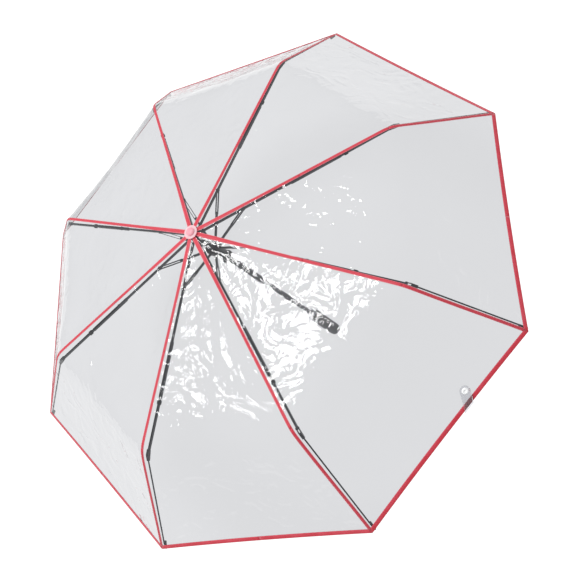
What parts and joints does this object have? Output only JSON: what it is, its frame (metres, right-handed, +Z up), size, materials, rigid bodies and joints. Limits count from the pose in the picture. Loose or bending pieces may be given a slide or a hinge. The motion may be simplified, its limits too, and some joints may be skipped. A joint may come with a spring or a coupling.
{
  "type": "folding umbrella",
  "caption": "Children's folding umbrella: clear film canopy with red binding on a folding frame with a telescopic shaft, sliding runner and straight handle.",
  "frame": {"origin": "on the handle's axis at the middle of the handle's length", "axes": "+Z up the shaft from the handle to the cap; +X along one rib, the other ribs every 45 degrees"},
  "size_m": [0.891, 0.891, 0.5172],
  "materials": {
    "clear_film": "clear soft film, glossy",
    "red_tape": "woven binding tape",
    "frame_steel": "dark grey lacquered steel",
    "black_tube": "black lacquered tube",
    "bright_tube": "black lacquered tube",
    "black_plastic": "moulded, satin",
    "handle_plastic": "moulded, half gloss",
    "pink_clear": "translucent pink moulding",
    "white_plastic": "white moulding"
  },
  "bodies": {
    "handle": {"handle_grip": "handle_plastic", "handle_collar": "frame_steel", "handle_cap": "handle_plastic", "lower_tube": "bright_tube"},
    "middle_shaft": {"middle_tube": "bright_tube"},
    "upper_shaft": {"upper_tube": "black_tube", "tube_ferrule": "frame_steel", "crown_notch": "black_plastic", "crown_wire": "frame_steel", "cap_disc": "pink_clear", "top_cap": "pink_clear", "canopy_film": "clear_film", "seam_binding": "red_tape", "hem_binding": "red_tape", "closure_strap": "clear_film", "strap_snap": "white_plastic"},
    "runner": {"runner_sleeve": "black_plastic", "runner_wire": "frame_steel"},
    "release_button": {"release_button": "black_plastic"},
    "main_rib_1": {"main_rib_1": "frame_steel"},
    "stretcher_1": {"stretcher_1": "frame_steel"},
    "middle_rib_1": {"middle_rib_1": "frame_steel"},
    "outer_rib_1": {"outer_rib_1": "frame_steel"},
    "main_rib_2": {"main_rib_2": "frame_steel"},
    "stretcher_2": {"stretcher_2": "frame_steel"},
    "middle_rib_2": {"middle_rib_2": "frame_steel"},
    "outer_rib_2": {"outer_rib_2": "frame_steel"},
    "main_rib_3": {"main_rib_3": "frame_steel"},
    "stretcher_3": {"stretcher_3": "frame_steel"},
    "middle_rib_3": {"middle_rib_3": "frame_steel"},
    "outer_rib_3": {"outer_rib_3": "frame_steel"},
    "main_rib_4": {"main_rib_4": "frame_steel"},
    "stretcher_4": {"stretcher_4": "frame_steel"},
    "middle_rib_4": {"middle_rib_4": "frame_steel"},
    "outer_rib_4": {"outer_rib_4": "frame_steel"},
    "main_rib_5": {"main_rib_5": "frame_steel"},
    "stretcher_5": {"stretcher_5": "frame_steel"},
    "middle_rib_5": {"middle_rib_5": "frame_steel"},
    "outer_rib_5": {"outer_rib_5": "frame_steel"},
    "main_rib_6": {"main_rib_6": "frame_steel"},
    "stretcher_6": {"stretcher_6": "frame_steel"},
    "middle_rib_6": {"middle_rib_6": "frame_steel"},
    "outer_rib_6": {"outer_rib_6": "frame_steel"},
    "main_rib_7": {"main_rib_7": "frame_steel"},
    "stretcher_7": {"stretcher_7": "frame_steel"},
    "middle_rib_7": {"middle_rib_7": "frame_steel"},
    "outer_rib_7": {"outer_rib_7": "frame_steel"},
    "main_rib_8": {"main_rib_8": "frame_steel"},
    "stretcher_8": {"stretcher_8": "frame_steel"},
    "middle_rib_8": {"middle_rib_8": "frame_steel"},
    "outer_rib_8": {"outer_rib_8": "frame_steel"}
  },
  "joints": [
    {"name": "runner_slide", "type": "slide", "parent": "upper_shaft", "child": "runner", "axis": [0, 0, -1], "range_m": [0, 0.0983], "deforming": ["canopy_film", "seam_binding", "hem_binding", "closure_strap", "strap_snap"]},
    {"name": "upper_tube_slide", "type": "slide", "parent": "middle_shaft", "child": "upper_shaft", "axis": [0, 0, -1], "range_m": [0, 0.097]},
    {"name": "middle_tube_slide", "type": "slide", "parent": "handle", "child": "middle_shaft", "axis": [0, 0, -1], "range_m": [0, 0.085]},
    {"name": "release_button_press", "type": "slide", "parent": "runner", "child": "release_button", "axis": [-0.9239, -0.3827, 0], "range_m": [0, 0.0014], "stiffness_N_per_m": 400, "springref_m": -0.001},
    {"name": "crown_hinge_1", "type": "hinge", "parent": "upper_shaft", "child": "main_rib_1", "pos_m": [0.00636, 0.00636, 0.44304], "axis": [-0.7071, 0.7071, 0], "range_deg": [0, 75.95]},
    {"name": "runner_hinge_1", "type": "hinge", "parent": "runner", "child": "stretcher_1", "pos_m": [0.00672, 0.00672, 0.39504], "axis": [0.7071, -0.7071, 0], "range_deg": [0, 60.76]},
    {"name": "middle_hinge_1", "type": "hinge", "parent": "main_rib_1", "child": "middle_rib_1", "pos_m": [0.12087, 0.12087, 0.41138], "axis": [0.7071, -0.7071, 0], "range_deg": [0, 177.01]},
    {"name": "knee_hinge_1", "type": "hinge", "parent": "middle_rib_1", "child": "outer_rib_1", "pos_m": [0.21784, 0.21784, 0.38457], "axis": [-0.7071, 0.7071, 0], "range_deg": [0, 147.42]},
    {"name": "crown_hinge_2", "type": "hinge", "parent": "upper_shaft", "child": "main_rib_2", "pos_m": [0, 0.009, 0.44304], "axis": [-1, 0, 0], "range_deg": [0, 75.95]},
    {"name": "runner_hinge_2", "type": "hinge", "parent": "runner", "child": "stretcher_2", "pos_m": [0, 0.0095, 0.39504], "axis": [1, 0, 0], "range_deg": [0, 60.76]},
    {"name": "middle_hinge_2", "type": "hinge", "parent": "main_rib_2", "child": "middle_rib_2", "pos_m": [0, 0.17093, 0.41138], "axis": [1, 0, 0], "range_deg": [0, 177.01]},
    {"name": "knee_hinge_2", "type": "hinge", "parent": "middle_rib_2", "child": "outer_rib_2", "pos_m": [0, 0.30807, 0.38457], "axis": [-1, 0, 0], "range_deg": [0, 147.42]},
    {"name": "crown_hinge_3", "type": "hinge", "parent": "upper_shaft", "child": "main_rib_3", "pos_m": [-0.00636, 0.00636, 0.44304], "axis": [-0.7071, -0.7071, 0], "range_deg": [0, 75.95]},
    {"name": "runner_hinge_3", "type": "hinge", "parent": "runner", "child": "stretcher_3", "pos_m": [-0.00672, 0.00672, 0.39504], "axis": [0.7071, 0.7071, 0], "range_deg": [0, 60.76]},
    {"name": "middle_hinge_3", "type": "hinge", "parent": "main_rib_3", "child": "middle_rib_3", "pos_m": [-0.12087, 0.12087, 0.41138], "axis": [0.7071, 0.7071, 0], "range_deg": [0, 177.01]},
    {"name": "knee_hinge_3", "type": "hinge", "parent": "middle_rib_3", "child": "outer_rib_3", "pos_m": [-0.21784, 0.21784, 0.38457], "axis": [-0.7071, -0.7071, 0], "range_deg": [0, 147.42]},
    {"name": "crown_hinge_4", "type": "hinge", "parent": "upper_shaft", "child": "main_rib_4", "pos_m": [-0.009, 0, 0.44304], "axis": [0, -1, 0], "range_deg": [0, 75.95]},
    {"name": "runner_hinge_4", "type": "hinge", "parent": "runner", "child": "stretcher_4", "pos_m": [-0.0095, 0, 0.39504], "axis": [0, 1, 0], "range_deg": [0, 60.76]},
    {"name": "middle_hinge_4", "type": "hinge", "parent": "main_rib_4", "child": "middle_rib_4", "pos_m": [-0.17093, 0, 0.41138], "axis": [0, 1, 0], "range_deg": [0, 177.01]},
    {"name": "knee_hinge_4", "type": "hinge", "parent": "middle_rib_4", "child": "outer_rib_4", "pos_m": [-0.30807, 0, 0.38457], "axis": [0, -1, 0], "range_deg": [0, 147.42]},
    {"name": "crown_hinge_5", "type": "hinge", "parent": "upper_shaft", "child": "main_rib_5", "pos_m": [-0.00636, -0.00636, 0.44304], "axis": [0.7071, -0.7071, 0], "range_deg": [0, 75.95]},
    {"name": "runner_hinge_5", "type": "hinge", "parent": "runner", "child": "stretcher_5", "pos_m": [-0.00672, -0.00672, 0.39504], "axis": [-0.7071, 0.7071, 0], "range_deg": [0, 60.76]},
    {"name": "middle_hinge_5", "type": "hinge", "parent": "main_rib_5", "child": "middle_rib_5", "pos_m": [-0.12087, -0.12087, 0.41138], "axis": [-0.7071, 0.7071, 0], "range_deg": [0, 177.01]},
    {"name": "knee_hinge_5", "type": "hinge", "parent": "middle_rib_5", "child": "outer_rib_5", "pos_m": [-0.21784, -0.21784, 0.38457], "axis": [0.7071, -0.7071, 0], "range_deg": [0, 147.42]},
    {"name": "crown_hinge_6", "type": "hinge", "parent": "upper_shaft", "child": "main_rib_6", "pos_m": [0, -0.009, 0.44304], "axis": [1, 0, 0], "range_deg": [0, 75.95]},
    {"name": "runner_hinge_6", "type": "hinge", "parent": "runner", "child": "stretcher_6", "pos_m": [0, -0.0095, 0.39504], "axis": [-1, 0, 0], "range_deg": [0, 60.76]},
    {"name": "middle_hinge_6", "type": "hinge", "parent": "main_rib_6", "child": "middle_rib_6", "pos_m": [0, -0.17093, 0.41138], "axis": [-1, 0, 0], "range_deg": [0, 177.01]},
    {"name": "knee_hinge_6", "type": "hinge", "parent": "middle_rib_6", "child": "outer_rib_6", "pos_m": [0, -0.30807, 0.38457], "axis": [1, 0, 0], "range_deg": [0, 147.42]},
    {"name": "crown_hinge_7", "type": "hinge", "parent": "upper_shaft", "child": "main_rib_7", "pos_m": [0.00636, -0.00636, 0.44304], "axis": [0.7071, 0.7071, 0], "range_deg": [0, 75.95]},
    {"name": "runner_hinge_7", "type": "hinge", "parent": "runner", "child": "stretcher_7", "pos_m": [0.00672, -0.00672, 0.39504], "axis": [-0.7071, -0.7071, 0], "range_deg": [0, 60.76]},
    {"name": "middle_hinge_7", "type": "hinge", "parent": "main_rib_7", "child": "middle_rib_7", "pos_m": [0.12087, -0.12087, 0.41138], "axis": [-0.7071, -0.7071, 0], "range_deg": [0, 177.01]},
    {"name": "knee_hinge_7", "type": "hinge", "parent": "middle_rib_7", "child": "outer_rib_7", "pos_m": [0.21784, -0.21784, 0.38457], "axis": [0.7071, 0.7071, 0], "range_deg": [0, 147.42]},
    {"name": "crown_hinge_8", "type": "hinge", "parent": "upper_shaft", "child": "main_rib_8", "pos_m": [0.009, 0, 0.44304], "axis": [0, 1, 0], "range_deg": [0, 75.95]},
    {"name": "runner_hinge_8", "type": "hinge", "parent": "runner", "child": "stretcher_8", "pos_m": [0.0095, 0, 0.39504], "axis": [0, -1, 0], "range_deg": [0, 60.76]},
    {"name": "middle_hinge_8", "type": "hinge", "parent": "main_rib_8", "child": "middle_rib_8", "pos_m": [0.17093, 0, 0.41138], "axis": [0, -1, 0], "range_deg": [0, 177.01]},
    {"name": "knee_hinge_8", "type": "hinge", "parent": "middle_rib_8", "child": "outer_rib_8", "pos_m": [0.30807, 0, 0.38457], "axis": [0, 1, 0], "range_deg": [0, 147.42]}
  ],
  "couplings": [
    {"joint": "crown_hinge_1", "follows": "runner_slide", "rad_per_m": 13.483},
    {"joint": "runner_hinge_1", "follows": "runner_slide", "rad_per_m": 10.786},
    {"joint": "middle_hinge_1", "follows": "runner_slide", "rad_per_m": 31.427},
    {"joint": "knee_hinge_1", "follows": "runner_slide", "rad_per_m": 26.173},
    {"joint": "crown_hinge_2", "follows": "runner_slide", "rad_per_m": 13.483},
    {"joint": "runner_hinge_2", "follows": "runner_slide", "rad_per_m": 10.786},
    {"joint": "middle_hinge_2", "follows": "runner_slide", "rad_per_m": 31.427},
    {"joint": "knee_hinge_2", "follows": "runner_slide", "rad_per_m": 26.173},
    {"joint": "crown_hinge_3", "follows": "runner_slide", "rad_per_m": 13.483},
    {"joint": "runner_hinge_3", "follows": "runner_slide", "rad_per_m": 10.786},
    {"joint": "middle_hinge_3", "follows": "runner_slide", "rad_per_m": 31.427},
    {"joint": "knee_hinge_3", "follows": "runner_slide", "rad_per_m": 26.173},
    {"joint": "crown_hinge_4", "follows": "runner_slide", "rad_per_m": 13.483},
    {"joint": "runner_hinge_4", "follows": "runner_slide", "rad_per_m": 10.786},
    {"joint": "middle_hinge_4", "follows": "runner_slide", "rad_per_m": 31.427},
    {"joint": "knee_hinge_4", "follows": "runner_slide", "rad_per_m": 26.173},
    {"joint": "crown_hinge_5", "follows": "runner_slide", "rad_per_m": 13.483},
    {"joint": "runner_hinge_5", "follows": "runner_slide", "rad_per_m": 10.786},
    {"joint": "middle_hinge_5", "follows": "runner_slide", "rad_per_m": 31.427},
    {"joint": "knee_hinge_5", "follows": "runner_slide", "rad_per_m": 26.173},
    {"joint": "crown_hinge_6", "follows": "runner_slide", "rad_per_m": 13.483},
    {"joint": "runner_hinge_6", "follows": "runner_slide", "rad_per_m": 10.786},
    {"joint": "middle_hinge_6", "follows": "runner_slide", "rad_per_m": 31.427},
    {"joint": "knee_hinge_6", "follows": "runner_slide", "rad_per_m": 26.173},
    {"joint": "crown_hinge_7", "follows": "runner_slide", "rad_per_m": 13.483},
    {"joint": "runner_hinge_7", "follows": "runner_slide", "rad_per_m": 10.786},
    {"joint": "middle_hinge_7", "follows": "runner_slide", "rad_per_m": 31.427},
    {"joint": "knee_hinge_7", "follows": "runner_slide", "rad_per_m": 26.173},
    {"joint": "crown_hinge_8", "follows": "runner_slide", "rad_per_m": 13.483},
    {"joint": "runner_hinge_8", "follows": "runner_slide", "rad_per_m": 10.786},
    {"joint": "middle_hinge_8", "follows": "runner_slide", "rad_per_m": 31.427},
    {"joint": "knee_hinge_8", "follows": "runner_slide", "rad_per_m": 26.173}
  ]
}
